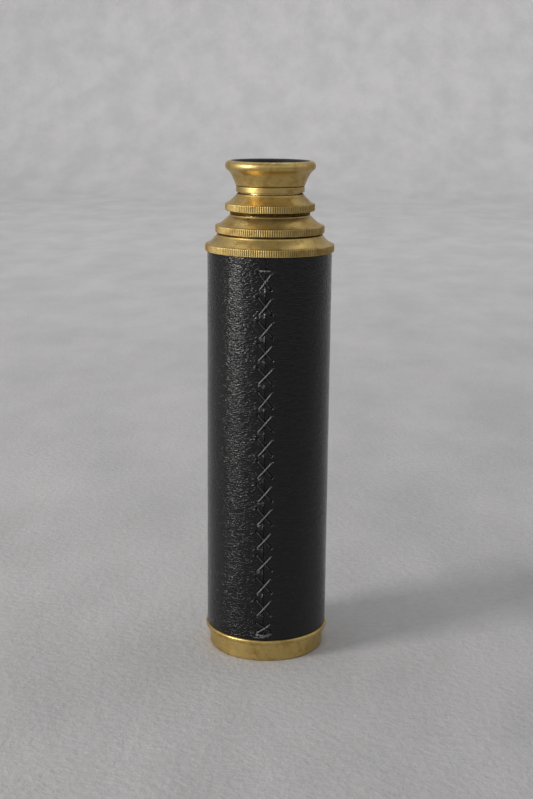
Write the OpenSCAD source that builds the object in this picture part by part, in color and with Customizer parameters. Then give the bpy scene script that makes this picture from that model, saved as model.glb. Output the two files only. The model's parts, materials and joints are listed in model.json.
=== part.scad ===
// Three-draw brass pocket telescope with a laced leather cover, collapsed.
// The optical axis is Z. The objective's rim stands on Z = 0 and the eyecup is at the top.
// The lacing runs down the -Y side. All sizes are in millimetres.

/* [Barrel] */
// Outside diameter of the leather cover
leather_d = 40.1; // [39.6:0.1:40.3]
// Thickness of the leather
leather_t = 1.2; // [1.1:0.1:1.2]
// Height of the leather cover
leather_h = 125.9; // [122:0.1:135]
// Wall of the barrel tube
barrel_wall = 0.7; // [0.6:0.05:0.8]

/* [Objective end] */
// Diameter of the plain band that the telescope stands on
band_d = 38.2; // [38:0.1:38.6]
// Height of the plain band
band_h = 5.8; // [5.4:0.1:6.4]
// Diameter of the lip ring under the leather
lip_d = 41; // [40.6:0.1:41.4]
// Height of the lip ring
lip_h = 1.9; // [1.5:0.1:2.4]
// Diameter of the objective lens
objective_d = 32.4; // [31:0.1:33]
// Front opening of the objective cell
aperture_d = 31; // [28:0.1:31]

/* [Draws] */
// Outside diameter of the first draw tube
draw_1_d = 31.2; // [31:0.1:31.4]
// Outside diameter of the second draw tube
draw_2_d = 23.6; // [23.4:0.1:23.8]
// Outside diameter of the eye draw tube
eye_draw_d = 19.2; // [19:0.1:19.3]
// Wall of the first and second draw tubes
draw_wall = 0.6; // [0.5:0.05:0.6]
// Wall of the eye draw tube
eye_wall = 0.5; // [0.4:0.05:0.5]
// Travel of each draw
draw_stroke = 91; // [80:1:91]

/* [Collars] */
// Diameter of the barrel collar
barrel_collar_d = 41.5; // [41.2:0.1:42]
// Height of the barrel collar above the leather
barrel_collar_h = 5.4; // [5:0.1:5.8]
// Diameter of the first draw's collar
draw_1_collar_d = 35; // [34.6:0.1:35.4]
// Height of the first draw's collar
draw_1_collar_h = 6.2; // [6:0.1:6.6]
// Diameter of the second draw's collar
draw_2_collar_d = 28.7; // [28.3:0.1:29.1]
// Height of the second draw's collar
draw_2_collar_h = 6.3; // [6.1:0.1:6.7]
// Height of each knurled band
knurl_h = 2.3; // [2:0.1:2.4]

/* [Eyecup] */
// Diameter across the rolled rim
eyecup_d = 28.9; // [28.5:0.1:29.4]
// Height of the eyecup
eyecup_h = 9.8; // [9.6:0.1:10.4]
// Diameter of the band at the foot of the eyecup
eyecup_foot_d = 21.9; // [21.6:0.1:22.3]
// Depth of the bowl, down to the blackened disc
bowl_depth = 5.5; // [5:0.1:5.6]
// Diameter of the sight hole
sight_hole_d = 6; // [4:0.1:8]

/* [Lacing] */
// Number of cross stitches
stitch_count = 16; // [10:1:16]
// Width of a stitch between its holes
stitch_w = 4.6; // [3.6:0.1:5]
// Height of a stitch between its holes
stitch_h = 5.4; // [4.6:0.1:5.8]
// Thickness of the thread
thread_d = 0.7; // [0.5:0.05:0.8]

/* [Hidden] */
$fn = 96;

// Fits. A draw runs in its sleeve with slide_gap; a stop ring clears the next tube by stop_gap.
slide_gap = 0.05;
stop_gap = 0.3;
rest_gap = 0.15; // between one collar and the next when collapsed
end_gap = 0.5; // left between a stop ring and a sleeve at full travel
lens_gap = 0.05; // air space between the two objective lenses

// Radii
leather_r = leather_d / 2;
barrel_r = leather_r - leather_t;
barrel_bore_r = barrel_r - barrel_wall;
draw_1_r = draw_1_d / 2;
draw_1_bore_r = draw_1_r - draw_wall;
draw_2_r = draw_2_d / 2;
draw_2_bore_r = draw_2_r - draw_wall;
eye_r = eye_draw_d / 2;
eye_bore_r = eye_r - eye_wall;
objective_r = objective_d / 2;
optics_tube_t = 0.7; // wall of the erector and eyepiece tubes
optics_r = eye_bore_r - optics_tube_t; // lenses and stops of the eye draw
throat_r = 7.5; // bore of the eyecup's spigot, which holds the eye lens
disc_r = 9.9; // blackened disc at the bottom of the bowl
collar_top_r = [16.7, 12.5, 10.4]; // top of each collar, barrel first
collar_foot_r = [barrel_r, 16.7, 12.8]; // plain foot under each knurl
collar_foot_h = [0, 0.35, 0.95];
cove_lift = [0.24, 0.3, 0.32]; // share of a cove's height at which its curve turns upwards
baffle_hole_r = [10, 7]; // openings of the two baffles
erector_stop_r = 1.8;
field_stop_r = 5.5;

// Levels of the outside, from the floor up
leather_z = band_h + lip_h;
barrel_collar_z = leather_z + leather_h;
draw_1_collar_z = barrel_collar_z + barrel_collar_h + rest_gap;
draw_2_collar_z = draw_1_collar_z + draw_1_collar_h + rest_gap;
eyecup_z = draw_2_collar_z + draw_2_collar_h + end_gap;
eyecup_top_z = eyecup_z + eyecup_h;
disc_z = eyecup_top_z - bowl_depth; // top of the blackened disc

// Levels of the draws and their sleeves
draw_bottom_z = [16.5, 22, 28]; // lower end of each draw tube
stop_ring_h = [4, 4, 3.5];
skirt_h = 7.6; // length of a collar inside its tube
sleeve_t = 0.75; // wall of a spring sleeve
sleeve_seat_h = 1; // how far a sleeve goes into its collar, above the foot
sleeve_slots = 6;
slot_w = 0.8;
baffle_t = 0.8;
baffle_inset = 1; // from the end of a draw tube to its baffle

// Levels of the optics
lens_edge_z = 6; // front edge of the objective
crown_edge_t = 2.9;
crown_front_r = 150; // radius of curvature
crown_back_r = 110;
flint_edge_t = 3.2;
objective_ring_h = 2;
cell_top_z = 14.5;
small_lens_t = 1.6; // edge thickness of the small lenses
erector_face_r = [36, 48]; // radii of curvature of the small lenses: outer face, inner face
field_face_r = [60, 40];
eye_face_r = [26, 34];
lens_inset = 3; // from the end of a tube to the lens inside it
lens_ring_w = 1; // width of the rings that hold the small lenses
lens_ring_h = 1.4;
erector_z = draw_bottom_z[2] + 1;
erector_h = 38;
erector_lens_z = [erector_z + lens_inset, erector_z + erector_h - 2 * lens_inset];
spigot_h = 6.2; // length of the eyecup inside the eye tube
spigot_z = eyecup_z - spigot_h;
eyepiece_h = 34;
eyepiece_z = spigot_z - eyepiece_h;
field_lens_z = eyepiece_z + lens_inset;
field_stop_z = eyepiece_z + 20;
eye_lens_z = spigot_z + lens_inset;
disc_t = 1.5;

// Levels of the lacing
lacing_top = 4.1; // from the collar down to the bar over the first stitch
bar_gap = 0.9; // from that bar to the first stitch
lacing_bottom = 1.3; // from the lip ring up to the last bar
last_stitch_h = stitch_h * 0.6; // the last stitch is squeezed in
bar_z = leather_z + leather_h - lacing_top;
lacing_h = leather_h - lacing_top - bar_gap - lacing_bottom - thread_d - last_stitch_h;
stitch_pitch = lacing_h / (stitch_count - 1);

// Lower end of the spring sleeve that holds draw i (0 to 2): just above the stop ring at full travel
function sleeve_z(i) = draw_bottom_z[i] + stop_ring_h[i] + draw_stroke + end_gap;

// How far a spherical face of radius face_r stands out between the radii outer and inner
function bulge(face_r, outer, inner = 0) =
    sqrt(pow(face_r, 2) - pow(inner, 2)) - sqrt(pow(face_r, 2) - pow(outer, 2));

// The same, over the width of a ring that holds a lens of radius r
function ring_bulge(face_r, r) = bulge(face_r, r, r - lens_ring_w);

// Quarter-round and other arcs, as [radius, height] points from angle a to angle b
function arc(c, r, a, b, n = 6) =
    [for (i = [0:n]) c + r * [cos(a + (b - a) * i / n), sin(a + (b - a) * i / n)]];

// Concave sweep from p to q that bends towards the control point c
function sweep_curve(p, c, q, n = 8) =
    [for (i = [0:n]) let (t = i / n) pow(1 - t, 2) * p + 2 * t * (1 - t) * c + pow(t, 2) * q];

// Cove of a collar: shallow at the knurl, steep at the top
function cove(p, q, lift) =
    let (run = p[0] - q[0], rise = q[1] - p[1], turn = 0.46)
    sweep_curve(p, p + [-turn * run, lift * rise], q);

// Spherical face from the axis out to its edge at [r, z], standing up (side 1) or down (side -1)
function lens_face(r, z, face_r, side, n = 10) =
    [for (i = [0:n]) let (x = r * i / n) [x, z + side * bulge(face_r, r, x)]];

function reverse(list) = [for (i = [len(list) - 1:-1:0]) list[i]];

module ring(r_out, r_in, z, h) {
    translate([0, 0, z]) difference() {
        cylinder(h = h, r = r_out);
        translate([0, 0, -1]) cylinder(h = h + 2, r = r_in);
    }
}

// Ring with a round mouth through which light passes, chamfered towards the front
module diaphragm(r_out, r_hole, z, h) {
    bevel = h / 2;
    color([0.1, 0.1, 0.1]) rotate_extrude()
        polygon([[r_hole + bevel, z], [r_out, z], [r_out, z + h], [r_hole, z + h], [r_hole, z + bevel]]);
}

// Lens of radius r: edge from z up by edge_t, with a bulge of front_r below and back_r above
module convex_lens(r, z, edge_t, front_r, back_r) {
    color([0.75, 0.9, 0.85, 0.5]) rotate_extrude() polygon(concat(
        lens_face(r, z, front_r, -1),
        reverse(lens_face(r, z + edge_t, back_r, 1))
    ));
}

// Spring sleeve: a tube whose lower part is slotted into fingers that grip the draw
module spring_sleeve(bore_r, z, top_z) {
    slot_h = (top_z - z) * 0.6;
    color("darkgoldenrod") difference() {
        ring(bore_r + sleeve_t, bore_r, z, top_z - z);
        for (i = [0:sleeve_slots - 1])
            rotate([0, 0, i * 360 / sleeve_slots])
                translate([bore_r - 1, -slot_w / 2, z - 1]) cube([sleeve_t + 2, slot_w, slot_h + 1]);
    }
}

// Collar i of height h with a band of band_r for the knurl, a cove above it, and a skirt that
// fits inside the tube below. The draw passes through bore_r.
module collar(i, z, h, band_r, bore_r, skirt_r) {
    edge = 0.3; // rounding of the band's edges
    lip = 0.4; // rounding of the top
    foot_h = collar_foot_h[i];
    top_r = collar_top_r[i];
    band_z = z + foot_h;
    band_top = band_z + knurl_h;
    sleeve_r = bore_r + sleeve_t;
    seat_z = band_z + sleeve_seat_h; // top of the counterbore that holds the sleeve
    color("gold") rotate_extrude() polygon(concat(
        [[sleeve_r, z - skirt_h], [skirt_r, z - skirt_h], [skirt_r, z], [collar_foot_r[i], z]],
        foot_h > 0 ? [[collar_foot_r[i], band_z]] : [],
        arc([band_r - edge, band_z + edge], edge, -90, 0, 4),
        arc([band_r - edge, band_top - edge], edge, 0, 90, 4),
        cove([band_r - 2 * edge, band_top], [top_r + lip, z + h - lip], cove_lift[i]),
        arc([top_r, z + h - lip], lip, 30, 90, 4),
        [[bore_r, z + h], [bore_r, seat_z], [sleeve_r, seat_z]]
    ));
}

// Ring on the lower end of a draw tube, which stops it from being pulled right out
module stop_ring(tube_r, parent_bore_r, i) {
    color("darkgoldenrod") ring(parent_bore_r - stop_gap, tube_r, draw_bottom_z[i], stop_ring_h[i]);
}

// One straight strand over the leather, between two holes given as [x, z]
module strand(a, b, y) {
    run = b - a;
    middle = (a + b) / 2;
    translate([middle[0], y, middle[1]])
        rotate([0, atan2(run[0], run[1]), 0]) cube([thread_d, thread_d, norm(run)], center = true);
}

// The end of a strand, going down through its hole in the leather
module thread_leg(p) {
    hole_depth = 1.4;
    surface_y = -sqrt(pow(leather_r, 2) - pow(p[0], 2));
    translate([p[0] - thread_d / 2, surface_y - thread_d / 2, p[1] - thread_d / 2])
        cube([thread_d, hole_depth, thread_d]);
}

// Two crossed strands that hang down by h from z
module cross_stitch(z, h) {
    w = stitch_w / 2;
    over_y = -leather_r - 0.2;
    under_y = -leather_r + 0.1;
    strand([-w, z - h], [w, z], over_y);
    strand([-w, z], [w, z - h], under_y);
    for (x = [-w, w], drop = [0, h]) thread_leg([x, z - drop]);
}

module bar_stitch(z) {
    w = stitch_w / 2;
    strand([-w, z], [w, z], -leather_r);
    for (x = [-w, w]) thread_leg([x, z]);
}

module barrel_tube() {
    color("darkgoldenrod") ring(barrel_r, barrel_bore_r, band_h, leather_h + lip_h);
}

module leather_cover() {
    color([0.08, 0.08, 0.08]) ring(leather_r, barrel_r, leather_z, leather_h);
}

module seam_lacing() {
    color([0.05, 0.05, 0.05]) {
        bar_stitch(bar_z);
        for (i = [0:stitch_count - 1])
            cross_stitch(bar_z - bar_gap - i * stitch_pitch, i < stitch_count - 1 ? stitch_h : last_stitch_h);
        bar_stitch(leather_z + lacing_bottom);
    }
}

module lip_ring() {
    edge = 0.6;
    neck_h = 0.25; // fine groove between the lip and the band
    neck_r = band_d / 2 + 0.1;
    color("goldenrod") rotate_extrude() polygon(concat(
        [[barrel_r, band_h], [neck_r, band_h], [neck_r, band_h + neck_h]],
        arc([lip_d / 2 - edge, band_h + neck_h + edge], edge, -90, 0),
        arc([lip_d / 2 - edge, leather_z - edge], edge, 0, 90),
        [[barrel_r, leather_z]]
    ));
}

module objective_cell() {
    edge = 0.5;
    aperture_r = aperture_d / 2;
    seat_z = lens_edge_z - bulge(crown_front_r, objective_r, aperture_r);
    color("goldenrod") rotate_extrude() polygon(concat(
        arc([band_d / 2 - edge, edge], edge, -90, 0),
        arc([band_d / 2 - edge / 2, band_h - edge / 2], edge / 2, 0, 90, 4),
        [[barrel_bore_r, band_h], [barrel_bore_r, cell_top_z], [objective_r, cell_top_z]],
        [[objective_r, seat_z], [aperture_r, seat_z]],
        arc([aperture_r + edge, edge], edge, 180, 270)
    ));
}

module objective_crown() {
    convex_lens(objective_r, lens_edge_z, crown_edge_t, crown_front_r, crown_back_r);
}

// Its hollow front follows the back of the crown lens, behind a thin air space
module objective_flint() {
    edge_z = lens_edge_z + crown_edge_t + lens_gap;
    back_z = edge_z + flint_edge_t;
    color([0.75, 0.9, 0.85, 0.5]) rotate_extrude() polygon(concat(
        lens_face(objective_r, edge_z, crown_back_r, 1),
        [[objective_r, back_z], [0, back_z]]
    ));
}

module objective_retainer() {
    z = lens_edge_z + crown_edge_t + lens_gap + flint_edge_t;
    color("darkgoldenrod") ring(objective_r, aperture_d / 2, z, objective_ring_h);
}

module barrel_collar() {
    collar(0, barrel_collar_z, barrel_collar_h, barrel_collar_d / 2, draw_1_r + slide_gap, barrel_bore_r);
}

module barrel_spring_sleeve() {
    spring_sleeve(draw_1_r + slide_gap, sleeve_z(0), barrel_collar_z + collar_foot_h[0] + sleeve_seat_h);
}

module draw_1_tube() {
    z = draw_bottom_z[0];
    color("goldenrod") ring(draw_1_r, draw_1_bore_r, z, draw_1_collar_z - z);
}

module draw_1_collar() {
    collar(1, draw_1_collar_z, draw_1_collar_h, draw_1_collar_d / 2, draw_2_r + slide_gap, draw_1_bore_r);
}

module draw_1_spring_sleeve() {
    spring_sleeve(draw_2_r + slide_gap, sleeve_z(1), draw_1_collar_z + collar_foot_h[1] + sleeve_seat_h);
}

module draw_1_stop_ring() {
    stop_ring(draw_1_r, barrel_bore_r, 0);
}

module draw_1_baffle() {
    diaphragm(draw_1_bore_r, baffle_hole_r[0], draw_bottom_z[0] + baffle_inset, baffle_t);
}

module draw_2_tube() {
    z = draw_bottom_z[1];
    color("goldenrod") ring(draw_2_r, draw_2_bore_r, z, draw_2_collar_z - z);
}

module draw_2_collar() {
    collar(2, draw_2_collar_z, draw_2_collar_h, draw_2_collar_d / 2, eye_r + slide_gap, draw_2_bore_r);
}

module draw_2_spring_sleeve() {
    spring_sleeve(eye_r + slide_gap, sleeve_z(2), draw_2_collar_z + collar_foot_h[2] + sleeve_seat_h);
}

module draw_2_stop_ring() {
    stop_ring(draw_2_r, draw_1_bore_r, 1);
}

module draw_2_baffle() {
    diaphragm(draw_2_bore_r, baffle_hole_r[1], draw_bottom_z[1] + baffle_inset, baffle_t);
}

module eye_tube() {
    z = draw_bottom_z[2];
    color("goldenrod") ring(eye_r, eye_bore_r, z, eyecup_z - z);
}

module eye_stop_ring() {
    stop_ring(eye_r, draw_2_bore_r, 2);
}

// Tube of the two erecting lenses, inside the lower end of the eye draw
module erector_tube() {
    color([0.1, 0.1, 0.1]) ring(eye_bore_r, optics_r, erector_z, erector_h);
}

module erector_front_lens() {
    convex_lens(optics_r, erector_lens_z[0], small_lens_t, erector_face_r[0], erector_face_r[1]);
}

module erector_rear_lens() {
    convex_lens(optics_r, erector_lens_z[1], small_lens_t, erector_face_r[1], erector_face_r[0]);
}

module erector_stop() {
    diaphragm(optics_r, erector_stop_r, erector_z + erector_h / 2, baffle_t);
}

module erector_retainers() {
    rise = ring_bulge(erector_face_r[0], optics_r);
    ring_z = [erector_lens_z[0] - rise - lens_ring_h, erector_lens_z[1] + small_lens_t + rise];
    color("darkgoldenrod") for (z = ring_z) ring(optics_r, optics_r - lens_ring_w, z, lens_ring_h);
}

// Tube of the eyepiece, inside the upper end of the eye draw
module eyepiece_tube() {
    color([0.1, 0.1, 0.1]) ring(eye_bore_r, optics_r, eyepiece_z, eyepiece_h);
}

module field_lens() {
    convex_lens(optics_r, field_lens_z, small_lens_t, field_face_r[0], field_face_r[1]);
}

module field_retainer() {
    z = field_lens_z - ring_bulge(field_face_r[0], optics_r) - lens_ring_h;
    color("darkgoldenrod") ring(optics_r, optics_r - lens_ring_w, z, lens_ring_h);
}

module field_stop() {
    diaphragm(optics_r, field_stop_r, field_stop_z, baffle_t);
}

module eye_lens() {
    convex_lens(throat_r, eye_lens_z, small_lens_t, eye_face_r[0], eye_face_r[1]);
}

module eye_lens_retainer() {
    z = eye_lens_z - ring_bulge(eye_face_r[0], throat_r) - lens_ring_h;
    color("darkgoldenrod") ring(throat_r, throat_r - lens_ring_w, z, lens_ring_h);
}

// Flared cup with a rolled rim. The spigot below fits the eye tube and holds the eye lens.
module eyecup() {
    foot_r = eyecup_foot_d / 2;
    foot_h = 1.85;
    edge = 0.25;
    roll_r = 1.6; // radius of the rolled rim
    roll = [eyecup_d / 2 - roll_r, eyecup_top_z - roll_r];
    flare_start = [foot_r + 0.1, eyecup_z + foot_h + 0.3];
    flare_turn = flare_start + [1.3, 3.75];
    flare_end = roll + roll_r * [cos(60), -sin(60)];
    bowl_start = [roll[0] - roll_r - 0.2, eyecup_top_z - 2.2];
    bowl_turn = [disc_r + 0.6, disc_z + 1.4];
    color("gold") rotate_extrude() polygon(concat(
        [[throat_r, spigot_z], [eye_bore_r, spigot_z], [eye_bore_r, eyecup_z]],
        arc([foot_r - edge, eyecup_z + edge], edge, -90, 0, 4),
        arc([foot_r - edge, eyecup_z + foot_h - edge], edge, 0, 90, 4),
        sweep_curve(flare_start, flare_turn, flare_end),
        arc(roll, roll_r, -50, 190, 16),
        sweep_curve(bowl_start, bowl_turn, [disc_r, disc_z], 5),
        [[disc_r, disc_z - disc_t], [throat_r, disc_z - disc_t]]
    ));
}

// Blackened disc with the sight hole
module eye_disc() {
    bevel = 0.8;
    hole_r = sight_hole_d / 2;
    color([0.08, 0.08, 0.08]) rotate_extrude() polygon([
        [hole_r, disc_z - disc_t], [disc_r, disc_z - disc_t], [disc_r, disc_z],
        [hole_r + bevel, disc_z], [hole_r, disc_z - bevel]
    ]);
}

barrel_tube();
leather_cover();
seam_lacing();
lip_ring();
objective_cell();
objective_crown();
objective_flint();
objective_retainer();
barrel_collar();
barrel_spring_sleeve();
draw_1_tube();
draw_1_collar();
draw_1_spring_sleeve();
draw_1_stop_ring();
draw_1_baffle();
draw_2_tube();
draw_2_collar();
draw_2_spring_sleeve();
draw_2_stop_ring();
draw_2_baffle();
eye_tube();
eye_stop_ring();
erector_tube();
erector_front_lens();
erector_rear_lens();
erector_stop();
erector_retainers();
eyepiece_tube();
field_lens();
field_stop();
field_retainer();
eye_lens();
eye_lens_retainer();
eyecup();
eye_disc();
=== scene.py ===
"""Looks of the brass draw telescope: turned brass, laced leather, glass, and a plain studio.

Lengths in this script are millimetres, and MM turns them into Blender's metres. Where a CAD node's box
gives a height or a radius, it is read from the box.
"""
import json
import math
import random

import bpy
import numpy as np
from mathutils import Matrix, Vector, noise


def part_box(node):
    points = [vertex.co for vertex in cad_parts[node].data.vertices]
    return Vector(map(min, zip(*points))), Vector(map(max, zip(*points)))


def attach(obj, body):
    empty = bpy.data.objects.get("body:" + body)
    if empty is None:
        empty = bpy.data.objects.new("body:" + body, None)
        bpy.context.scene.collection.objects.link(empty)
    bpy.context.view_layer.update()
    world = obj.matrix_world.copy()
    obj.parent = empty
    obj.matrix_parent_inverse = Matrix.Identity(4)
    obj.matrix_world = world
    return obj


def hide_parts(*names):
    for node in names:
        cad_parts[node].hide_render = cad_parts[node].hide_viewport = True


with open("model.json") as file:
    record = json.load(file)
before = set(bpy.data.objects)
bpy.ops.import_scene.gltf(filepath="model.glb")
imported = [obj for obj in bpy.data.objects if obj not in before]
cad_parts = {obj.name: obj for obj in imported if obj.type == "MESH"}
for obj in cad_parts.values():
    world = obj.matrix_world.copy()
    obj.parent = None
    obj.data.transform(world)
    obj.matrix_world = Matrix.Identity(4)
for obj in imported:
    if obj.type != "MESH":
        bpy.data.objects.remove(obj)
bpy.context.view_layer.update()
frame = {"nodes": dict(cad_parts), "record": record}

MM = 0.001
TURN = 2 * math.pi
scene = bpy.context.scene


# ---------------------------------------------------------------- the frame, in millimetres

class Reach:
    """Outer radius and lowest and highest level of a CAD node."""

    def __init__(self, node):
        low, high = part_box(node)
        self.r = (high.x - low.x) / 2 / MM
        self.low = low.z / MM
        self.top = high.z / MM


def bore_of(node):
    """The inside radius of a tube node, from its mesh."""
    return min(math.hypot(v.co.x, v.co.y) for v in frame["nodes"][node].data.vertices) / MM


leather = Reach("leather_cover")
barrel = Reach("barrel_tube")
lip = Reach("lip_ring")
cell = Reach("objective_cell")
crown = Reach("objective_crown")
lacing = Reach("seam_lacing")
cup = Reach("eyecup")
disc = Reach("eye_disc")
eye_lens = Reach("eye_lens")
spigot = Reach("eyepiece_tube")


# ---------------------------------------------------------------- mesh helpers

def new_mesh(name, verts_mm, faces, body, material, replaced=()):
    """A shaded piece from vertices in millimetres, riding on a body."""
    mesh = bpy.data.meshes.new(name)
    mesh.from_pydata((np.asarray(verts_mm, float) * MM).tolist(), [], faces)
    mesh.validate()
    mesh.shade_smooth()
    piece = bpy.data.objects.new(name, mesh)
    scene.collection.objects.link(piece)
    mesh.materials.append(material)
    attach(piece, body)
    if replaced:
        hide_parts(*replaced)
    return piece


def weighted_normals(piece):
    """Flat faces stay flat beside their small rounded edges."""
    modifier = piece.modifiers.new("flat faces", "WEIGHTED_NORMAL")
    modifier.keep_sharp = True
    modifier.weight = 80


def arc(centre, radius, start, end, steps=6):
    """Points (r, z) on a circle, from angle start to end in degrees."""
    angles = [math.radians(start + (end - start) * i / steps) for i in range(steps + 1)]
    return [(centre[0] + radius * math.cos(a), centre[1] + radius * math.sin(a)) for a in angles]


def curve(start, control, end, steps=14):
    """Points (r, z) on a quadratic curve that bends towards the control point."""
    points = []
    for i in range(steps + 1):
        t = i / steps
        weights = ((1 - t) ** 2, 2 * t * (1 - t), t ** 2)
        points.append(tuple(sum(w * p[k] for w, p in zip(weights, (start, control, end))) for k in (0, 1)))
    return points


def corner(before, point, after, radius, steps=4):
    """The rounding of one corner of an outline, as points on a small curve."""
    def towards(other):
        away = (Vector(other) - Vector(point))
        return tuple(Vector(point) + away.normalized() * min(radius, away.length / 2))
    return curve(towards(before), point, towards(after), steps)


def rounded(points, radius):
    """A closed outline with every corner rounded."""
    outline = []
    for i, point in enumerate(points):
        outline += corner(points[i - 1], point, points[(i + 1) % len(points)], radius)
    return outline


def tidy_outline(points):
    """The same closed outline without repeated points."""
    kept = []
    for point in points:
        if not kept or math.dist(point, kept[-1]) > 1e-4:
            kept.append(point)
    if math.dist(kept[0], kept[-1]) < 1e-4:
        kept.pop()
    return kept


TOOTH_COLUMNS = 6  # mesh columns for each tooth of a knurl
GROOVE_SHARPNESS = 1.4  # above 1, the grooves are narrower than the teeth
KNURL_WEAR = 0.12  # how much the depth of the grooves varies round the band
KNURL_REACH = 0.35  # only this close to the widest part is an outline knurled
# how much the knurl's grooves are darkened
GROOVE_DARKENING = 0.9


def turned(name, outline, body, material, replaced=(), columns=256, knurl=None, dirt_and_shade=None):
    """A solid of revolution from a closed outline of (r, z) points.

    knurl is (teeth, depth, low, top): V grooves cut between those two levels on the widest part.
    The darkening function of (r, z) gives from 0 to 1 how much the colour is darkened there: dirt, and
    painted shade in gaps and recesses.
    """
    points = np.array(tidy_outline(outline))
    count = len(points)
    r, z = points[:, 0], points[:, 1]
    if knurl:
        teeth, depth, low, top = knurl
        columns = teeth * TOOTH_COLUMNS
    angle = np.arange(columns) * TURN / columns
    radius = np.tile(r, (columns, 1))
    groove = np.zeros((columns, count))
    if knurl:
        phase = (np.arange(columns) % TOOTH_COLUMNS) / TOOTH_COLUMNS
        cut = (0.5 - 0.5 * np.cos(TURN * phase)) ** GROOVE_SHARPNESS
        wear = 1 - KNURL_WEAR + KNURL_WEAR * np.sin(5 * angle) * np.sin(11 * angle + 1)
        on_band = (z > low) & (z < top) & (r > r.max() - KNURL_REACH)
        groove = np.outer(cut * wear, on_band.astype(float))
        radius = radius - depth * groove
    verts = np.stack([radius * np.sin(angle)[:, None], -radius * np.cos(angle)[:, None],
                      np.tile(z, (columns, 1))], axis=2).reshape(-1, 3)
    faces = []
    for i in range(columns):
        a, b = i * count, ((i + 1) % columns) * count
        for j in range(count):
            k = (j + 1) % count
            faces.append((a + j, b + j, b + k, a + k))
    piece = new_mesh(name, verts, faces, body, material, replaced)
    # darkening of the colour: dirt, and painted shade in gaps and recesses, deepest in the knurl's grooves
    darkening = np.tile([dirt_and_shade(*p) if dirt_and_shade else 0.0 for p in points], (columns, 1))
    darkening = np.maximum(darkening, GROOVE_DARKENING * groove)
    attribute = piece.data.attributes.new("dirt_and_shade", "FLOAT", "POINT")
    attribute.data.foreach_set("value", darkening.astype(np.float32).ravel())
    weighted_normals(piece)


def lens(name, node, body, edge, front_sag, back_sag):
    """A lens in a node's place: edge is its thickness at the rim.

    Its faces stand out by front_sag below and by back_sag above.
    """
    own = Reach(node)
    radius = own.r
    edge_low = own.low + front_sag
    edge_top = edge_low + edge
    rings, columns = 24, 128
    verts, faces = [], []
    for side, rim_z, sag in ((-1, edge_low, front_sag), (1, edge_top, back_sag)):
        first = len(verts)
        verts.append((0, 0, rim_z + side * sag))
        for i in range(1, rings + 1):
            share = i / rings
            height = rim_z + side * sag * (1 - share ** 2)
            verts += [(radius * share * math.cos(TURN * c / columns),
                       radius * share * math.sin(TURN * c / columns), height) for c in range(columns)]
        for c in range(columns):
            d = (c + 1) % columns
            fan = (first, first + 1 + d, first + 1 + c)
            faces.append(fan if side < 0 else fan[::-1])
            for i in range(rings - 1):
                a, b = first + 1 + i * columns, first + 1 + (i + 1) * columns
                quad = (a + c, a + d, b + d, b + c)
                faces.append(quad if side < 0 else quad[::-1])
    low_rim = 1 + (rings - 1) * columns
    top_rim = low_rim + 1 + rings * columns
    for c in range(columns):
        d = (c + 1) % columns
        faces.append((low_rim + c, low_rim + d, top_rim + d, top_rim + c))
    piece = new_mesh(name, verts, faces, body, glass, [node])
    piece.data.set_sharp_from_angle(angle=math.radians(40))


# ---------------------------------------------------------------- material helpers

def new_material(name):
    material = bpy.data.materials.new(name)
    material.use_nodes = True
    return material, material.node_tree, material.node_tree.nodes["Principled BSDF"]


def add(tree, kind, links=None, values=None, **settings):
    """A shader node: links feed its inputs from sockets, values set them, settings set its fields."""
    made = tree.nodes.new(kind)
    for key, value in settings.items():
        setattr(made, key, value)
    for key, value in (values or {}).items():
        made.inputs[key].default_value = value
    for key, socket in (links or {}).items():
        tree.links.new(socket, made.inputs[key])
    return made


def scaled(tree, vector, factors):
    """A vector with each of its parts multiplied by its own factor."""
    return add(tree, "ShaderNodeVectorMath", {0: vector}, {1: factors}, operation="MULTIPLY").outputs[0]


def place_mm(tree):
    """The point on the object, in millimetres."""
    return scaled(tree, add(tree, "ShaderNodeTexCoord").outputs["Object"], (1 / MM, 1 / MM, 1 / MM))


def noise_of(tree, vector, scale, detail=3.0, rough=0.5, distortion=0.0):
    """Noise with about scale lumps in a millimetre, where the vector is in millimetres."""
    values = {"Scale": scale, "Detail": detail, "Roughness": rough, "Distortion": distortion}
    return add(tree, "ShaderNodeTexNoise", {"Vector": vector}, values).outputs["Fac"]


def spread(tree, value, low, high, to_low=0.0, to_high=1.0):
    """value from low..high to to_low..to_high, clamped."""
    return add(tree, "ShaderNodeMapRange", {"Value": value},
               {"From Min": low, "From Max": high, "To Min": to_low, "To Max": to_high}).outputs["Result"]


def math_of(tree, operation, a, b):
    """A sum, product or other operation on two terms, each a socket or a number."""
    made = add(tree, "ShaderNodeMath", operation=operation)
    for i, term in enumerate((a, b)):
        if isinstance(term, (int, float)):
            made.inputs[i].default_value = term
        else:
            tree.links.new(term, made.inputs[i])
    return made.outputs[0]


def blend_colour(tree, factor, a, b):
    """Colour a where the factor is 0, and colour b where it is 1."""
    made = add(tree, "ShaderNodeMix", data_type="RGBA")
    for key, term in ((0, factor), (6, a), (7, b)):
        if isinstance(term, (int, float, tuple)):
            made.inputs[key].default_value = term if not isinstance(term, tuple) else (*term, 1.0)
        else:
            tree.links.new(term, made.inputs[key])
    return made.outputs[2]


def bump_of(tree, height, distance_mm, strength=1.0, below=None):
    """The normal of a small relief, which may lie on top of another relief's normal."""
    links = {"Height": height}
    if below is not None:
        links["Normal"] = below
    return add(tree, "ShaderNodeBump", links, {"Strength": strength, "Distance": distance_mm * MM}).outputs[0]


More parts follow.
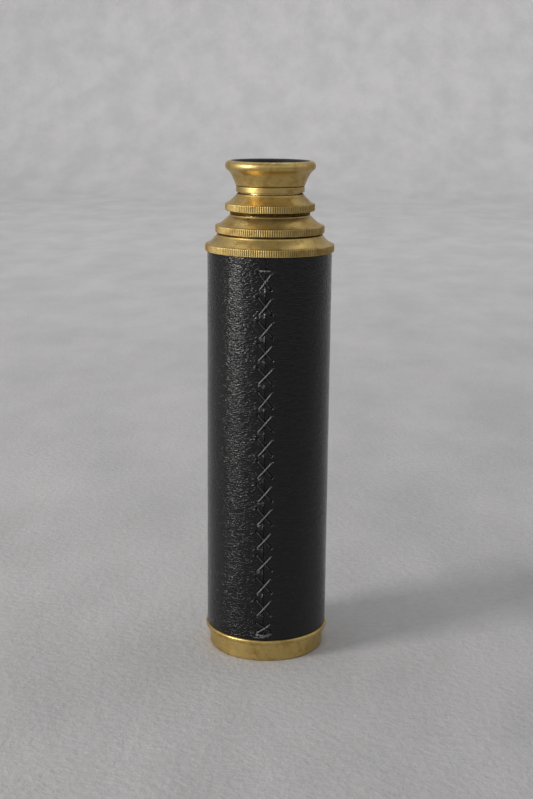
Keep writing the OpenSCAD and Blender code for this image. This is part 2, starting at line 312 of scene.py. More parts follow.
def turning_lines(tree, place, per_mm, wander=0.25):
    """Fine rings left by the lathe: noise that changes along the axis and hardly round it."""
    split = add(tree, "ShaderNodeSeparateXYZ", {0: place})
    flat = add(tree, "ShaderNodeCombineXYZ", {0: split.outputs[0], 1: split.outputs[1]})
    radius = add(tree, "ShaderNodeVectorMath", {0: flat.outputs[0]}, operation="LENGTH").outputs["Value"]
    drift = noise_of(tree, place, 0.12, detail=1.0)
    sideways = math_of(tree, "MULTIPLY", drift, wander)
    rings = add(tree, "ShaderNodeCombineXYZ", {0: radius, 1: sideways, 2: split.outputs[2]}).outputs[0]
    return noise_of(tree, rings, per_mm, detail=4.0, rough=0.7)


# ---------------------------------------------------------------- materials

TARNISH = (0.41, 0.256, 0.076)
# the colour of dark specks of dirt, and of painted shade in gaps and recesses
DARK_DIRT_AND_SHADE = (0.060, 0.036, 0.014)


def make_brass(name, bright, tarnish, shine, tarnish_from, lengthwise=False):
    """Lathe-turned brass with a patina in blotches, dark specks, and dirt and painted shade darkening its
    grooves and gaps.

    shine is the roughness of its smoothest parts. Tarnish sets in where the blotches' noise is above
    tarnish_from. lengthwise adds fine scratches along the axis, as on a tube that slides.
    """
    material, tree, shader = new_material(name)
    place = place_mm(tree)
    lines = turning_lines(tree, place, 9.0)
    blotch = noise_of(tree, place, 0.22, detail=6.0, rough=0.62, distortion=0.6)
    mottle = noise_of(tree, place, 1.1, detail=4.0, rough=0.6)
    speck = spread(tree, noise_of(tree, place, 2.3, detail=2.0, rough=0.5), 0.69, 0.76)
    cloud = spread(tree, noise_of(tree, place, 0.16, detail=2.0), 0.5, 0.68)
    patina = spread(tree, blotch, tarnish_from, tarnish_from + 0.2)
    colour = blend_colour(tree, patina, bright, tarnish)
    soft = math_of(tree, "MULTIPLY", spread(tree, mottle, 0.42, 0.66), 0.22)
    colour = blend_colour(tree, soft, colour, tarnish)
    spots = math_of(tree, "MULTIPLY", math_of(tree, "MULTIPLY", speck, cloud), 0.8)
    colour = blend_colour(tree, spots, colour, DARK_DIRT_AND_SHADE)
    # the mesh's darkening attribute: dirt, and painted shade in gaps and recesses
    dirt_and_shade = add(tree, "ShaderNodeAttribute", attribute_name="dirt_and_shade").outputs["Fac"]
    dirt_and_shade_share = math_of(tree, "MULTIPLY", dirt_and_shade, spread(tree, mottle, 0.25, 0.6, 0.6, 1.0))
    colour = blend_colour(tree, dirt_and_shade_share, colour, DARK_DIRT_AND_SHADE)
    tree.links.new(colour, shader.inputs["Base Color"])
    shader.inputs["Metallic"].default_value = 1.0
    smudge = spread(tree, noise_of(tree, place, 0.33, detail=3.0, rough=0.6), 0.35, 0.7, shine, shine + 0.13)
    rough = math_of(tree, "ADD", smudge, math_of(tree, "MULTIPLY", patina, 0.08))
    rough = math_of(tree, "ADD", rough, math_of(tree, "MULTIPLY", dirt_and_shade_share, 0.25))
    rough = math_of(tree, "ADD", rough, math_of(tree, "MULTIPLY", spread(tree, lines, 0.35, 0.65), 0.05))
    tree.links.new(rough, shader.inputs["Roughness"])
    normal = bump_of(tree, lines, 0.012, strength=0.55)
    normal = bump_of(tree, mottle, 0.02, strength=0.35, below=normal)
    if lengthwise:
        streaks = noise_of(tree, scaled(tree, place, (5.0, 5.0, 0.06)), 1.0, detail=3.0, rough=0.6)
        scratch = spread(tree, streaks, 0.6, 0.72)
        normal = bump_of(tree, scratch, 0.006, strength=0.5, below=normal)
    tree.links.new(normal, shader.inputs["Normal"])
    return material


def make_leather():
    """Black glazed leather: fine grain that runs round the tube, worn smooth here and there."""
    material, tree, shader = new_material("black_leather")
    place = place_mm(tree)
    warp = add(tree, "ShaderNodeTexNoise", {"Vector": place}, {"Scale": 0.8, "Detail": 2.0}).outputs["Color"]
    shift = scaled(tree, warp, (1.2, 1.2, 1.2))
    bent = add(tree, "ShaderNodeVectorMath", {0: place, 1: shift}, operation="ADD").outputs[0]
    bent = scaled(tree, bent, (1, 1, 2.5))
    edges = add(tree, "ShaderNodeTexVoronoi", {"Vector": bent}, {"Scale": 0.75},
                feature="DISTANCE_TO_EDGE").outputs["Distance"]
    pebble = spread(tree, edges, 0.0, 0.25)
    crease = noise_of(tree, bent, 1.02, detail=0.8, rough=0.5, distortion=0.5)
    pores = noise_of(tree, place, 8.0, detail=3.0, rough=0.6)
    worn = spread(tree, noise_of(tree, place, 0.09, detail=3.0, rough=0.6), 0.38, 0.66)
    tone = blend_colour(tree, worn, (0.0022, 0.0020, 0.0022), (0.0036, 0.0032, 0.0035))
    pits = (0.0014, 0.0013, 0.0015)
    tree.links.new(blend_colour(tree, pebble, pits, tone), shader.inputs["Base Color"])
    rough = spread(tree, crease, 0.3, 0.7, 0.26, 0.36)
    tree.links.new(math_of(tree, "ADD", rough, math_of(tree, "MULTIPLY", worn, -0.05)),
                   shader.inputs["Roughness"])
    shader.inputs["Specular IOR Level"].default_value = 0.03
    shader.inputs["Coat Weight"].default_value = 0.72
    shader.inputs["Coat Roughness"].default_value = 0.1
    normal = bump_of(tree, pebble, 0.022, strength=1.0)
    normal = bump_of(tree, crease, 0.215, strength=1.0, below=normal)
    normal = bump_of(tree, pores, 0.004, strength=0.5, below=normal)
    tree.links.new(normal, shader.inputs["Normal"])
    tree.links.new(normal, shader.inputs["Coat Normal"])
    return material


def make_thread(name, dark, light, gloss):
    """Waxed thread with fine fibres, dark where the wax is thin."""
    material, tree, shader = new_material(name)
    place = place_mm(tree)
    fibre = noise_of(tree, place, 9.0, detail=3.0, rough=0.7, distortion=1.5)
    wax = spread(tree, noise_of(tree, place, 0.8, detail=2.0), 0.35, 0.65)
    tree.links.new(blend_colour(tree, wax, dark, light), shader.inputs["Base Color"])
    tree.links.new(spread(tree, fibre, 0.3, 0.7, 0.2, 0.34), shader.inputs["Roughness"])
    shader.inputs["Specular IOR Level"].default_value = gloss
    tree.links.new(bump_of(tree, fibre, 0.03, strength=0.6), shader.inputs["Normal"])
    return material


def make_black():
    """Matt black lacquer over brass, rubbed a little."""
    material, tree, shader = new_material("blackened")
    place = place_mm(tree)
    rubbed = spread(tree, noise_of(tree, place, 0.5, detail=4.0, rough=0.6), 0.62, 0.8)
    lacquer, worn_through = (0.010, 0.010, 0.011), (0.05, 0.04, 0.025)
    tree.links.new(blend_colour(tree, rubbed, lacquer, worn_through), shader.inputs["Base Color"])
    rough = spread(tree, turning_lines(tree, place, 5.0), 0.3, 0.7, 0.3, 0.5)
    tree.links.new(rough, shader.inputs["Roughness"])
    shader.inputs["Specular IOR Level"].default_value = 0.25
    normal = bump_of(tree, turning_lines(tree, place, 7.0), 0.01, strength=0.5)
    tree.links.new(normal, shader.inputs["Normal"])
    return material


def make_glass():
    """Faintly green optical glass with a little dust on it."""
    material, tree, shader = new_material("lens_glass")
    place = place_mm(tree)
    dust = spread(tree, noise_of(tree, place, 0.4, detail=5.0, rough=0.7), 0.45, 0.8, 0.0, 0.06)
    tree.links.new(dust, shader.inputs["Roughness"])
    shader.inputs["Base Color"].default_value = (0.93, 0.98, 0.96, 1.0)
    shader.inputs["Transmission Weight"].default_value = 1.0
    shader.inputs["IOR"].default_value = 1.52
    return material


def make_floor():
    """Pale plaster board: soft mottling and a fine rough grain."""
    material, tree, shader = new_material("studio_floor")
    place = place_mm(tree)
    shade = noise_of(tree, scaled(tree, place, (1, 0.5, 1)), 0.02, detail=6.0, rough=0.62)
    grain = noise_of(tree, place, 0.4, detail=5.0, rough=0.6)
    grain_share = 0.35
    mottle = math_of(tree, "ADD", math_of(tree, "MULTIPLY", shade, 1 - grain_share),
                     math_of(tree, "MULTIPLY", grain, grain_share))
    dark, light = (0.425, 0.42, 0.42), (0.495, 0.487, 0.487)
    colour = blend_colour(tree, spread(tree, mottle, 0.4, 0.6), dark, light)
    tree.links.new(colour, shader.inputs["Base Color"])
    shader.inputs["Roughness"].default_value = 0.85
    tree.links.new(bump_of(tree, grain, 0.9, strength=0.6), shader.inputs["Normal"])
    return material


aged_brass = make_brass("aged_brass", (0.60, 0.442, 0.165), TARNISH, shine=0.30, tarnish_from=0.48)
tube_brass = make_brass("tube_brass", (0.78, 0.56, 0.24), TARNISH, shine=0.17, tarnish_from=0.6,
                        lengthwise=True)
inner_brass = make_brass("inner_brass", (0.6, 0.42, 0.16), (0.3, 0.19, 0.07), shine=0.34,
                         tarnish_from=0.42)
black_leather = make_leather()
waxed_thread = make_thread("waxed_thread", dark=(0.065, 0.067, 0.072), light=(0.120, 0.123, 0.130), gloss=1.0)
# the under strands' thread: a darker copy of the waxed thread, painted shade
painted_shade_thread = make_thread("painted_shade_thread", dark=(0.020, 0.021, 0.023), light=(0.040, 0.041, 0.044),
                             gloss=0.5)
blackened = make_black()
glass = make_glass()


# ---------------------------------------------------------------- camera, lights and stage

CAMERA_TURN = math.radians(3.0)  # the seam shows a little to the left of the middle
CAMERA_TILT = math.radians(12.998)
CAMERA_ROLL = math.radians(0.537)
CAMERA_PLACE = (-0.58, -426.5, 182.8)  # millimetres, before the turn
CAMERA_LENS = 59.76  # on the 36 mm sensor
WINDOW_AIM_Z = 90  # the window faces this level of the object
HORIZON_LIGHT, BELT_LIGHT, ZENITH_LIGHT = 0.28, 0.62, 0.28


def make_camera():
    data = bpy.data.cameras.new("camera")
    data.lens = CAMERA_LENS
    data.sensor_width = 36.0
    data.clip_start = 0.01
    camera = bpy.data.objects.new("camera", data)
    scene.collection.objects.link(camera)
    turn = Matrix.Rotation(CAMERA_TURN, 4, "Z")
    aim = Matrix.Rotation(math.pi / 2 - CAMERA_TILT, 4, "X") @ Matrix.Rotation(CAMERA_ROLL, 4, "Z")
    camera.matrix_world = turn @ Matrix.Translation(Vector(CAMERA_PLACE) * MM) @ aim
    scene.camera = camera


def bearing(azimuth, elevation):
    """A direction away from the object, from degrees. Azimuth 0 is on the -Y side, positive to +X."""
    a, e = math.radians(azimuth), math.radians(elevation)
    return Vector((math.sin(a) * math.cos(e), -math.cos(a) * math.cos(e), math.sin(e)))


def area_light(name, place, behind, width, height, power, colour):
    """A soft rectangular light at a place in metres. The vector behind it points away from its beam."""
    data = bpy.data.lights.new(name, "AREA")
    data.shape = "RECTANGLE"
    data.size, data.size_y = width * MM, height * MM
    data.energy = power
    data.color = colour
    light = bpy.data.objects.new(name, data)
    scene.collection.objects.link(light)
    light.location = place
    light.rotation_euler = behind.to_track_quat("Z", "Y").to_euler()
    light.visible_camera = False


def make_window():
    """A tall window, low on the left, which lights the object."""
    away, distance = bearing(azimuth=-60, elevation=18), 1200
    place = Vector((0, 0, WINDOW_AIM_Z * MM)) + away * distance * MM
    area_light("window", place, away, width=330, height=700, power=10.5, colour=(1.0, 0.985, 0.96))


def make_backdrop_wash():
    """A wide light above and behind the object, aimed at the wall."""
    place, behind = Vector((0, 700, 2100)) * MM, Vector((0, -1700, 900))
    area_light("backdrop_wash", place, behind, width=2600, height=900, power=39, colour=(1.0, 1.0, 1.0))


def make_stage():
    """A pale sweep: a floor that curves up into a wall far behind the object."""
    half, front, back, bend, wall = 4000, -4000, 1900, 600, 3000
    outline = [(front, 0), (back, 0)]
    outline += [(back + bend * math.sin(t), bend - bend * math.cos(t))
                for t in (math.radians(a) for a in range(6, 91, 6))]
    outline.append((back + bend, wall))
    verts = [(x, y, z) for y, z in outline for x in (-half, half)]
    faces = [(2 * i, 2 * i + 1, 2 * i + 3, 2 * i + 2) for i in range(len(outline) - 1)]
    mesh = bpy.data.meshes.new("floor")
    mesh.from_pydata([tuple(Vector(v) * MM) for v in verts], [], faces)
    mesh.shade_smooth()
    mesh.materials.append(make_floor())
    floor = bpy.data.objects.new("floor", mesh)
    scene.collection.objects.link(floor)


def make_world():
    """A soft room: a bright belt half-way up, and dimmer overhead and at the horizon."""
    world = bpy.data.worlds.new("studio")
    world.use_nodes = True
    scene.world = world
    tree = world.node_tree
    direction = add(tree, "ShaderNodeTexCoord").outputs["Generated"]
    height = add(tree, "ShaderNodeSeparateXYZ", {0: direction}).outputs[2]
    horizon, belt_low, belt_top, zenith_from = 0.0, 0.3, 0.68, 0.9  # heights on a sphere of radius 1
    belt = spread(tree, height, horizon, belt_low, HORIZON_LIGHT, BELT_LIGHT)
    dimming = spread(tree, height, belt_top, zenith_from, 0.0, BELT_LIGHT - ZENITH_LIGHT)
    light = math_of(tree, "SUBTRACT", belt, dimming)
    blue = math_of(tree, "MULTIPLY", light, 1.015)
    tint = add(tree, "ShaderNodeCombineColor", {0: light, 1: light, 2: blue})
    tree.links.new(tint.outputs[0], tree.nodes["Background"].inputs["Color"])


make_camera()
make_stage()
make_world()
make_window()
make_backdrop_wash()
scene.view_settings.view_transform = "Standard"


# ---------------------------------------------------------------- turned brass pieces

KNURL_H = 2.3
KNURL_DEPTH = 0.17


def collar(name, body, tube, sleeve, draw, teeth, foot_r, foot_h, top_r, lift):
    """A knurled collar with a concave flank, which the draw slides through.

    It stands on its tube with a foot of foot_r and foot_h below the knurl. The flank ends at top_r, and
    lift says how hollow it is: the height of its control point, as a share of its rise.
    """
    edge, round_top, slack, inward, bevel = 0.3, 0.4, 0.05, 0.46, 0.1
    knurl_gap = 0.12
    land = edge + knurl_gap  # plain metal below and above the knurl
    own, below, gripped, sliding = Reach(name), Reach(tube), Reach(sleeve), Reach(draw)
    band_z = below.top + foot_h
    band_top = band_z + KNURL_H
    bore_r = sliding.r + slack
    skirt_r = bore_of(tube)
    start = (own.r - 2 * edge, band_top)
    end = (top_r + round_top, own.top - round_top)
    run, rise = start[0] - end[0], end[1] - start[1]
    outline = [(gripped.r, own.low), (skirt_r, own.low), (skirt_r, below.top), (foot_r, below.top)]
    outline += [(foot_r, band_z)]
    outline += arc((own.r - edge, band_z + edge), edge, -90, 0)
    outline += [(own.r, z) for z in (band_z + land, (band_z + band_top) / 2, band_top - land)]
    outline += arc((own.r - edge, band_top - edge), edge, 0, 90)
    outline += curve(start, (start[0] - inward * run, start[1] + lift * rise), end)
    outline += arc((top_r, own.top - round_top), round_top, 30, 90)
    outline += [(bore_r + 0.9, own.top), (bore_r + bevel, own.top), (bore_r, own.top - bevel)]
    outline += [(bore_r, gripped.top), (gripped.r, gripped.top)]

    # painted shade in the gap under the band; dirt and painted shade at the ledge above the knurl and round
    # the bore
    def dirt_and_shade(r, z):
        in_gap = z < band_z + 0.02 and r > foot_r - 0.1
        at_ledge = abs(z - band_top) < 0.05 and r < own.r - 1.4 * edge
        round_bore = z > own.top - 0.05 and r < bore_r + 1
        return 0.9 if in_gap or round_bore else 0.35 if at_ledge else 0.0

    turned(name + "_turned", outline, body, aged_brass, [name],
           knurl=(teeth, KNURL_DEPTH, band_z + 0.2, band_top - knurl_gap), dirt_and_shade=dirt_and_shade)


collar("barrel_collar", "barrel", "barrel_tube", "barrel_spring_sleeve", "draw_1_tube",
       teeth=181, foot_r=barrel.r, foot_h=0, top_r=16.7, lift=0.24)
collar("draw_1_collar", "draw_1", "draw_1_tube", "draw_1_spring_sleeve", "draw_2_tube",
       teeth=153, foot_r=16.7, foot_h=0.35, top_r=12.5, lift=0.3)
collar("draw_2_collar", "draw_2", "draw_2_tube", "draw_2_spring_sleeve", "eye_tube",
       teeth=125, foot_r=12.8, foot_h=0.95, top_r=10.4, lift=0.32)


def make_lip_ring():
    """The ring that closes the barrel below the leather, over a narrow neck."""
    edge, neck_h = 0.6, 0.25
    neck_r = cell.r + 0.1
    outline = [(barrel.r, lip.low), (neck_r, lip.low), (neck_r, lip.low + neck_h)]
    outline += arc((lip.r - edge, lip.low + neck_h + edge), edge, -90, 0, 10)
    outline += arc((lip.r - edge, lip.top - edge), edge, 0, 90, 10)
    outline += [(barrel.r, lip.top)]

    # painted shade in the neck under the ring and along its top against the leather
    def dirt_and_shade(r, z):
        return 0.9 if z < lip.low + neck_h + 0.05 else 0.5 if z > lip.top - 0.03 else 0

    turned("lip_ring_turned", outline, "barrel", aged_brass, ["lip_ring"], dirt_and_shade=dirt_and_shade)


def make_objective_cell():
    """The cell that holds the objective: a plain band outside, and a seat for the crown lens inside."""
    edge, aperture_r, seat_gap, bevel = 0.5, 15.5, 0.07, 0.15
    seat_z = min(v.co.z for v in frame["nodes"]["objective_crown"].data.vertices
                 if math.hypot(v.co.x, v.co.y) > aperture_r * MM) / MM - seat_gap
    inner = bore_of("barrel_tube")
    outline = [(cell.r - edge - 0.4, 0)]
    outline += arc((cell.r - edge, edge), edge, -90, 0, 8)
    outline += [(cell.r, edge + 0.3), (cell.r, lip.low - 0.5)]
    outline += arc((cell.r - edge / 2, lip.low - edge / 2), edge / 2, 0, 90, 6)
    outline += [(inner, lip.low), (inner, cell.top), (crown.r, cell.top), (crown.r, seat_z)]
    outline += [(aperture_r + bevel, seat_z), (aperture_r, seat_z - bevel), (aperture_r, edge + 0.3)]
    outline += arc((aperture_r + edge, edge), edge, 180, 270, 8)
    outline += [(aperture_r + edge + 0.4, 0)]

    # painted shade under the lip ring and along the bottom edge where the cell stands
    def dirt_and_shade(r, z):
        return 0.7 if z > lip.low - 0.04 else 0.25 if z < 0.12 else 0

    turned("objective_cell_turned", outline, "barrel", aged_brass, ["objective_cell"],
           dirt_and_shade=dirt_and_shade)


def make_eyecup():
    """The turned cup, and the black lacquer inside it from the crest of the rolled rim down."""
    foot_r, foot_h, edge, roll_r = 10.95, 1.85, 0.25, 1.6
    foot_z = Reach("eye_tube").top
    spigot_r, throat_r = spigot.r, eye_lens.r
    roll = (cup.r - roll_r, cup.top - roll_r)
    flare_end = math.radians(-60)
    hollow = (1.3, 3.75)  # how far the flare's control point is out from and above its foot
    crest, rim_end = 97, 188  # degrees round the roll: where the lacquer starts, and where the bowl does
    roll_foot = (roll[0] + roll_r * math.cos(flare_end), roll[1] + roll_r * math.sin(flare_end))
    flare_foot = (foot_r + 0.1, foot_z + foot_h + 0.3)
    bowl = curve((roll[0] - roll_r - 0.12, cup.top - 2.1), (disc.r + 0.6, disc.top + 1.4),
                 (disc.r, disc.top + 0.02), 12)
    outline = [(throat_r, cup.low), (spigot_r, cup.low), (spigot_r, foot_z)]
    outline += arc((foot_r - edge, foot_z + edge), edge, -90, 0)
    outline += [(foot_r, foot_z + edge + 0.1), (foot_r, foot_z + foot_h - edge - 0.1)]
    outline += arc((foot_r - edge, foot_z + foot_h - edge), edge, 0, 90)
    outline += [(foot_r - 0.14, foot_z + foot_h + 0.02), (foot_r - 0.12, foot_z + foot_h + 0.16)]
    outline += curve(flare_foot, (flare_foot[0] + hollow[0], flare_foot[1] + hollow[1]), roll_foot, 20)
    outline += arc(roll, roll_r, -52, rim_end, 40)
    outline += bowl
    outline += [(disc.r, disc.low), (throat_r, disc.low)]

    # painted shade in the step above the foot and under the foot where it meets the eye tube
    def dirt_and_shade(r, z):
        in_step = abs(z - foot_z - foot_h - 0.1) < 0.16 and r > foot_r - 0.4
        return 0.9 if in_step or z < foot_z + 0.02 else 0.0

    turned("eyecup_turned", outline, "eye_draw", aged_brass, ["eyecup"], dirt_and_shade=dirt_and_shade)
    coat = 0.03
    outer = arc(roll, roll_r + coat, crest, rim_end, 24) + [(r - coat, z + coat / 2) for r, z in bowl[1:-1]]
    inner = arc(roll, roll_r - coat, crest, rim_end, 24) + [(r + coat, z) for r, z in bowl[1:-1]]
    turned("eyecup_lacquer", outer + inner[::-1], "eye_draw", blackened)


def make_eye_disc():
    """The disc with the sight hole: a shallow dish between its edge and the hole's bevelled rim."""
    hole_r, bevel, rim_w = 3.0, 0.8, 1.3
    edge_r = disc.r - 0.02
    dish_z = disc.top - 0.25
    outline = rounded([(hole_r, disc.low), (edge_r, disc.low), (edge_r, disc.top), (disc.r - 1.0, disc.top),
                       (disc.r - 1.3, dish_z), (hole_r + rim_w + 0.3, dish_z), (hole_r + rim_w, disc.top),
                       (hole_r + bevel, disc.top), (hole_r, disc.top - bevel)], 0.08)
    turned("eye_disc_turned", outline, "eye_draw", blackened, ["eye_disc"])


make_lip_ring()
make_objective_cell()
make_eyecup()
make_eye_disc()


def draw_tube(name, body):
    """A thin drawn tube with broken edges."""
    own, r_in, edge = Reach(name), bore_of(name), 0.12
    outline = rounded([(r_in, own.low), (own.r, own.low), (own.r, own.top), (r_in, own.top)], edge)
    turned(name + "_drawn", outline, body, tube_brass, [name])


for tube_name, tube_body in (("draw_1_tube", "draw_1"), ("draw_2_tube", "draw_2"), ("eye_tube", "eye_draw")):
    draw_tube(tube_name, tube_body)


# ---------------------------------------------------------------- lenses

lens("objective_crown_ground", "objective_crown", "barrel", edge=2.9, front_sag=0.878, back_sag=1.19)
lens("eye_lens_ground", "eye_lens", "eye_draw", edge=1.6, front_sag=1.105, back_sag=0.838)


# ---------------------------------------------------------------- leather and lacing

STITCHES = 16
STITCH_W = 4.6
STITCH_H = 5.4
LAST_H = STITCH_H * 0.6
THREAD = 0.7  # the CAD bars' thickness
BAR_GAP = 0.9
RAISE_ENDS = 0.35  # the hand-made stitches sit higher than even spacing, most of all below the middle
RAISE_MIDDLE = 1.2
TIGHT_START = 0.8  # the first stitches are drawn in on the right
TENT_H, LAST_TENT_H = 0.7, 0.15  # how far the leather stands up between two stitches, and below the last
DRAWN_IN = 0.16  # how far it is drawn in where the strands of a stitch cross
PUFF_H = 0.07  # soft swellings on both sides of a tent

KNOT = [  # strands tied off at the bottom: two ends (share of half a stitch, height in mm) and the lift
    ((-1.09, 0.45), (1.09, 0.85), 0.15),
    ((-1.45, -0.3), (1.0, 0.25), 0.25),
    ((-0.87, -0.35), (1.25, 1.1), 0.42),
    ((-1.13, 0.3), (0.3, -0.35), 0.45),
    ((-0.95, 1.0), (0.6, 0.35), 0.4),
    ((-0.3, 0.1), (0.95, 1.6), 0.5),
]

dice = random.Random(11)
bar_z = lacing.top - THREAD / 2
end_bar_z = lacing.low + THREAD / 2
first_z = bar_z - BAR_GAP
pitch = (first_z - (end_bar_z + THREAD + LAST_H)) / (STITCHES - 1)


def wobble(amount):
    return dice.uniform(-amount, amount)


class Stitch:
    """One cross stitch: its four holes (u, z), u being the distance round the leather from the seam.

    The strand that leans to the right ("/") lies on top of the other one.
    """

    def __init__(self, index):
        last = index == STITCHES - 1
        drop = LAST_H if last else STITCH_H
        top = first_z - index * pitch + (0 if index == 0 or last else wobble(0.25))
        top += RAISE_ENDS + RAISE_MIDDLE * math.sin(math.pi * index / (STITCHES + 2))
        step = 0.2 if last else 0.35
        half = STITCH_W / 2
        right = half - TIGHT_START * math.exp(-index / 1.5)
        self.upper_left = (-half + wobble(0.12), top + wobble(0.15))
        self.upper_right = (right + wobble(0.15), top - step + wobble(0.2))
        self.lower_left = (-half + 0.1 + wobble(0.15), top - drop - step + wobble(0.2))
        self.lower_right = (right + wobble(0.12), top - drop + wobble(0.15))
        self.middle = top - drop / 2 - 0.3 * step
        self.folds = [self.fold(hole) for hole in self.holes()]

    def holes(self):
        return [self.upper_left, self.upper_right, self.lower_left, self.lower_right]

    def fold(self, hole):
        """A small fold of leather that the thread pulls up beside a hole: its outer end and height."""
        out = math.copysign(dice.uniform(0.8, 2.2), hole[0])
        return (hole[0] + out, hole[1] - dice.uniform(-0.2, 1.1)), dice.uniform(0.05, 0.13)


stitches = [Stitch(i) for i in range(STITCHES)]


def off_line(u, z, a, b):
    """Distance of (u, z) from the line between a and b."""
    run = np.array(b) - np.array(a)
    share = np.clip(((u - a[0]) * run[0] + (z - a[1]) * run[1]) / (run @ run), 0, 1)
    return np.hypot(u - a[0] - share * run[0], z - a[1] - share * run[1])


def hump(off, width):
    """A smooth swelling of height 1, which falls off over the width."""
    return np.exp(-(off / width) ** 2)


def strand_groove(u, z, a, b, depth, shoulder):
    """The groove that a strand presses into the leather, with the leather swelling on both sides."""
    off = off_line(u, z, a, b)
    shoulder_at, shoulder_w, groove_w = 0.8, 0.38, 0.33
    return shoulder * hump(off - shoulder_at, shoulder_w) - depth * hump(off, groove_w)


def leather_relief(u, z):
    """Height of the leather's face above its plain radius, in mm."""
    lifted_edges = 0.05 * np.exp(-np.abs(u) / 0.5)
    slit = 0.26 * hump(u, 0.085)
    relief = lifted_edges - slit
    for one, after in zip(stitches, stitches[1:] + [None]):
        between = (one.middle + after.middle) / 2 if after else end_bar_z + 0.6
        tent = np.exp(-np.abs(u) / 0.85) * hump(z - between - 0.4, 1.4)
        relief += (TENT_H if after else LAST_TENT_H) * tent
        relief -= DRAWN_IN * hump(u, 1.3) * hump(z - one.middle, 1.1)
        relief += strand_groove(u, z, one.lower_left, one.upper_right, depth=0.15, shoulder=0.04)
        relief += strand_groove(u, z, one.upper_left, one.lower_right, depth=0.42, shoulder=0.1)
        for hole, (end, height) in zip(one.holes(), one.folds):
            relief += height * hump(off_line(u, z, hole, end), 0.24)
            relief -= 0.28 * hump(np.hypot(u - hole[0], z - hole[1]), 0.28)
        for side in (-1, 1):
            relief += PUFF_H * hump(u - side * 3.1, 0.9) * hump(z - between, 1.7)
    for level in (bar_z, end_bar_z):
        relief -= 0.2 * hump(off_line(u, z, (-STITCH_W / 2, level), (STITCH_W / 2, level)), 0.36)
    return relief


def seam_columns():
    """Places round the leather, close together at the seam."""
    side = []
    for start, end, step in ((0.0, 0.6, 0.06), (0.6, 3.7, 0.14), (3.7, 8.0, 0.36)):
        side += list(np.arange(start, end, step))
    half_way = math.pi * leather.r
    side += list(np.linspace(8.0, half_way, 56, endpoint=False))
    return np.array([-half_way] + [-s for s in side[:0:-1]] + side)


def unevenness(u, z):
    """Slow swells of a hand-laid cover, the same on both sides of the wrap-around."""
    angle = u / leather.r
    swell = 0.0
    for across, along, height in ((2.2, 0.11, 0.055), (9, 0.5, 0.02)):
        place = Vector((math.sin(angle) * across, math.cos(angle) * across, z * along))
        swell += noise.noise(place) * height
    return swell


def make_leather_cover():
    """The leather sleeve, with the relief of the seam, its stitches and its folds in the mesh."""
    columns = seam_columns()
    edge = 0.35
    quarter = np.linspace(0, math.pi / 2, 5)
    count = 760
    coarse = 4  # the unevenness is slow, so it is worked out for one row in four
    rows = np.linspace(leather.low + edge, leather.top - edge, count)
    u, z = np.meshgrid(columns, rows, indexing="ij")
    relief = leather_relief(u, z)
    slow = np.array([[unevenness(a, b) for b in rows[::coarse]] for a in columns])
    relief += slow.repeat(coarse, axis=1)[:, :count]
    verts, faces = [], []
    for i, around in enumerate(columns):
        angle = around / leather.r
        low_r, top_r = leather.r + relief[i, 0] - edge, leather.r + relief[i, -1] - edge
        bottom = [(low_r + edge * math.sin(t), leather.low + edge - edge * math.cos(t))
                  for t in quarter[:-1]]
        face = [(leather.r + h, level) for h, level in zip(relief[i], rows)]
        top = [(top_r + edge * math.cos(t), leather.top - edge + edge * math.sin(t))
               for t in quarter[1:]]
        inner = [(barrel.r + 0.01, leather.top), (barrel.r + 0.01, leather.low)]
        ring = bottom + face + top + inner
        verts += [(r * math.sin(angle), -r * math.cos(angle), level) for r, level in ring]
    size = len(ring)
    for i in range(len(columns)):
        a, b = i * size, ((i + 1) % len(columns)) * size
        faces += [(a + j, b + j, b + (j + 1) % size, a + (j + 1) % size) for j in range(size)]
    piece = new_mesh("leather_wrap", verts, faces, "barrel", black_leather, ["leather_cover"])
    piece.data.set_sharp_from_angle(angle=math.radians(50))


def on_leather(u, z, height):
    """A point over the leather."""
    angle = u / leather.r
    r = leather.r + height
    return Vector((r * math.sin(angle), -r * math.cos(angle), z))


def strand_path(a, b, lift, steps=52):
    """A strand out of hole a, over the leather and down into hole b."""
    depth, steepness, clear = 1.05, 26, 0.10
    points = []
    for i in range(steps + 1):
        t = i / steps
        dip = -depth * math.exp(-min(t, 1 - t) * steepness)
        crest = lift * math.sin(math.pi * t) ** 0.6
        points.append(on_leather(a[0] + (b[0] - a[0]) * t, a[1] + (b[1] - a[1]) * t, dip + clear + crest))
    return points


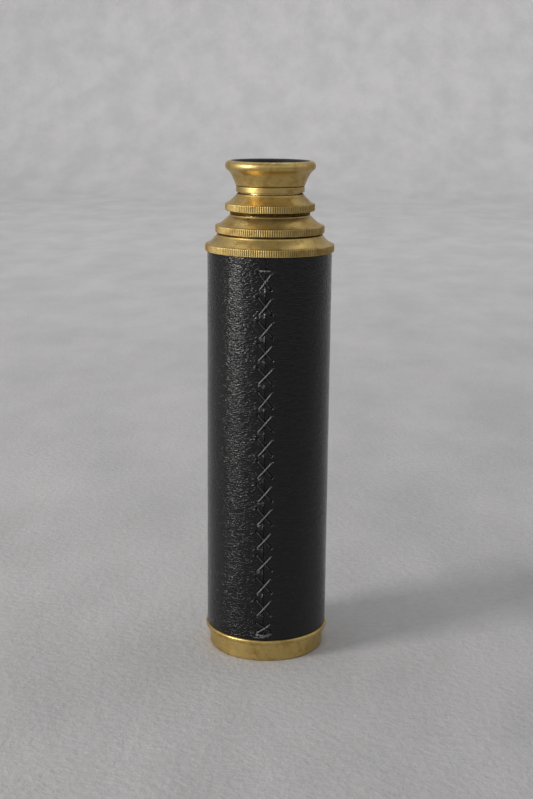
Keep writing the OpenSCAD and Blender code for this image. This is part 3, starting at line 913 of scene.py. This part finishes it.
def thread_tube(path, phase, verts, faces):
    """Two plies twisted round a path."""
    ply_r, offset, lay, sides = 0.185, 0.12, 2.1, 8
    walked = [0.0]
    for p, q in zip(path, path[1:]):
        walked.append(walked[-1] + (q - p).length)
    for ply in (0, 1):
        first = len(verts)
        for i, point in enumerate(path):
            ahead = (path[min(i + 1, len(path) - 1)] - path[max(i - 1, 0)]).normalized()
            outward = Vector((point.x, point.y, 0)).normalized()
            across = ahead.cross(outward).normalized()
            outward = across.cross(ahead)
            twist = TURN * (walked[i] / lay + ply / 2) + phase
            centre = point + (outward * math.sin(twist) + across * math.cos(twist)) * offset
            for s in range(sides):
                a = TURN * s / sides
                verts.append(centre + (outward * math.sin(a) + across * math.cos(a)) * ply_r)
        last = first + (len(path) - 1) * sides
        for ring in range(first, last, sides):
            for s in range(sides):
                t = (s + 1) % sides
                faces.append((ring + s, ring + sides + s, ring + sides + t, ring + t))
        faces.append(tuple(first + s for s in range(sides)))
        faces.append(tuple(last + s for s in range(sides))[::-1])


def make_lacing():
    """The strands that lie on top, and under them the others, in a darker copy of the thread: painted shade.

    The knot at the bottom has some of both.
    """
    top, under = ([], []), ([], [])
    over, sunk = 0.36, -0.36

    def lay(mesh, a, b, lift):
        thread_tube(strand_path(a, b, lift), dice.uniform(0, TURN), *mesh)

    half = STITCH_W / 2
    lay(top, (-half, bar_z + 0.05), (half - TIGHT_START, bar_z - 0.05), 0.15)
    for one in stitches:
        lay(under, one.upper_left, one.lower_right, sunk)
        lay(top, one.lower_left, one.upper_right, over)
    for number, (*ends, lift) in enumerate(KNOT):
        start, end = [(share * half, end_bar_z + height) for share, height in ends]
        lay(under if number % 2 else top, start, end, lift)
    for name, (verts, faces), material, replaced in (
            ("seam_thread", top, waxed_thread, ["seam_lacing"]),
            ("seam_thread_under", under, painted_shade_thread, [])):
        new_mesh(name, [tuple(v) for v in verts], faces, "barrel", material, replaced)


make_leather_cover()
make_lacing()


# ---------------------------------------------------------------- CAD nodes that keep their shape

FINISHES = {"inner_brass": inner_brass, "blackened_brass": blackened, "optical_glass": glass,
            "polished_brass": tube_brass, "aged_brass": aged_brass}


def dress(node, material):
    """A CAD node's own mesh with a better material."""
    piece = frame["nodes"][node]
    piece.data.materials.clear()
    piece.data.materials.append(material)


for subpart in frame["record"]["subparts"]:
    if subpart["material_slot"] in FINISHES:
        dress(subpart["node"], FINISHES[subpart["material_slot"]])
